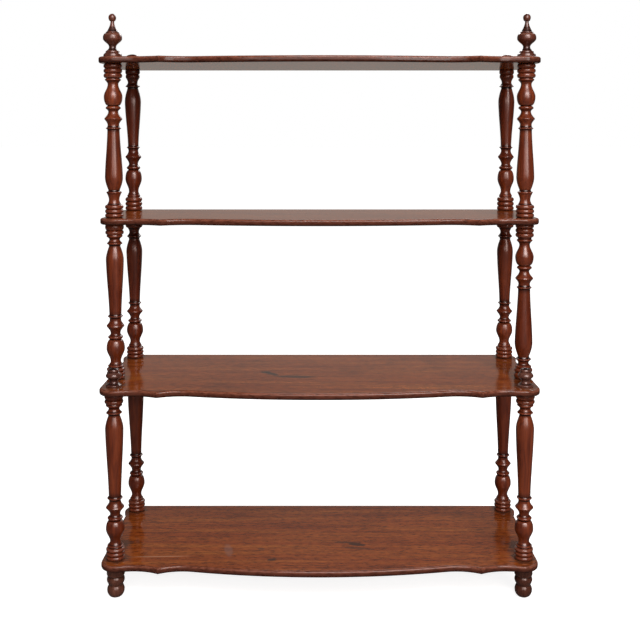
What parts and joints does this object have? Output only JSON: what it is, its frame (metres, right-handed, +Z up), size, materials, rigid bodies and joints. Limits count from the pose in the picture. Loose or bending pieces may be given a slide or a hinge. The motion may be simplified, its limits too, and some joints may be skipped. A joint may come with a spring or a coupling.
{
  "type": "shelving unit",
  "caption": "Free-standing wooden shelving unit: thin boards with a bowed, pointed front edge stand one above another on turned spindles, with turned feet and finials.",
  "frame": {"origin": "On the floor, in the middle of the width and depth of the whole shelf.", "axes": "+Z is up, -Y is the front, and +X is to the right as seen from the front. The back edges of the boards are at +Y."},
  "size_m": [0.873, 0.336, 1.1485],
  "materials": {
    "board_wood": "red-brown hardwood with long grain and an old hand-rubbed polish",
    "turned_wood": "red-brown hardwood turned on a lathe, darker in the grooves, with an old glossy polish"
  },
  "bodies": {
    "root": {"top_shelf": "board_wood", "second_shelf": "board_wood", "third_shelf": "board_wood", "bottom_shelf": "board_wood", "top_spindle_front_left": "turned_wood", "top_spindle_front_right": "turned_wood", "top_spindle_back_left": "turned_wood", "top_spindle_back_right": "turned_wood", "middle_spindle_front_left": "turned_wood", "middle_spindle_front_right": "turned_wood", "middle_spindle_back_left": "turned_wood", "middle_spindle_back_right": "turned_wood", "bottom_spindle_front_left": "turned_wood", "bottom_spindle_front_right": "turned_wood", "bottom_spindle_back_left": "turned_wood", "bottom_spindle_back_right": "turned_wood", "tall_finial_left": "turned_wood", "tall_finial_right": "turned_wood", "short_finial_left": "turned_wood", "short_finial_right": "turned_wood", "back_cap_left": "turned_wood", "back_cap_right": "turned_wood", "foot_front_left": "turned_wood", "foot_front_right": "turned_wood", "foot_back_left": "turned_wood", "foot_back_right": "turned_wood"}
  },
  "joints": []
}
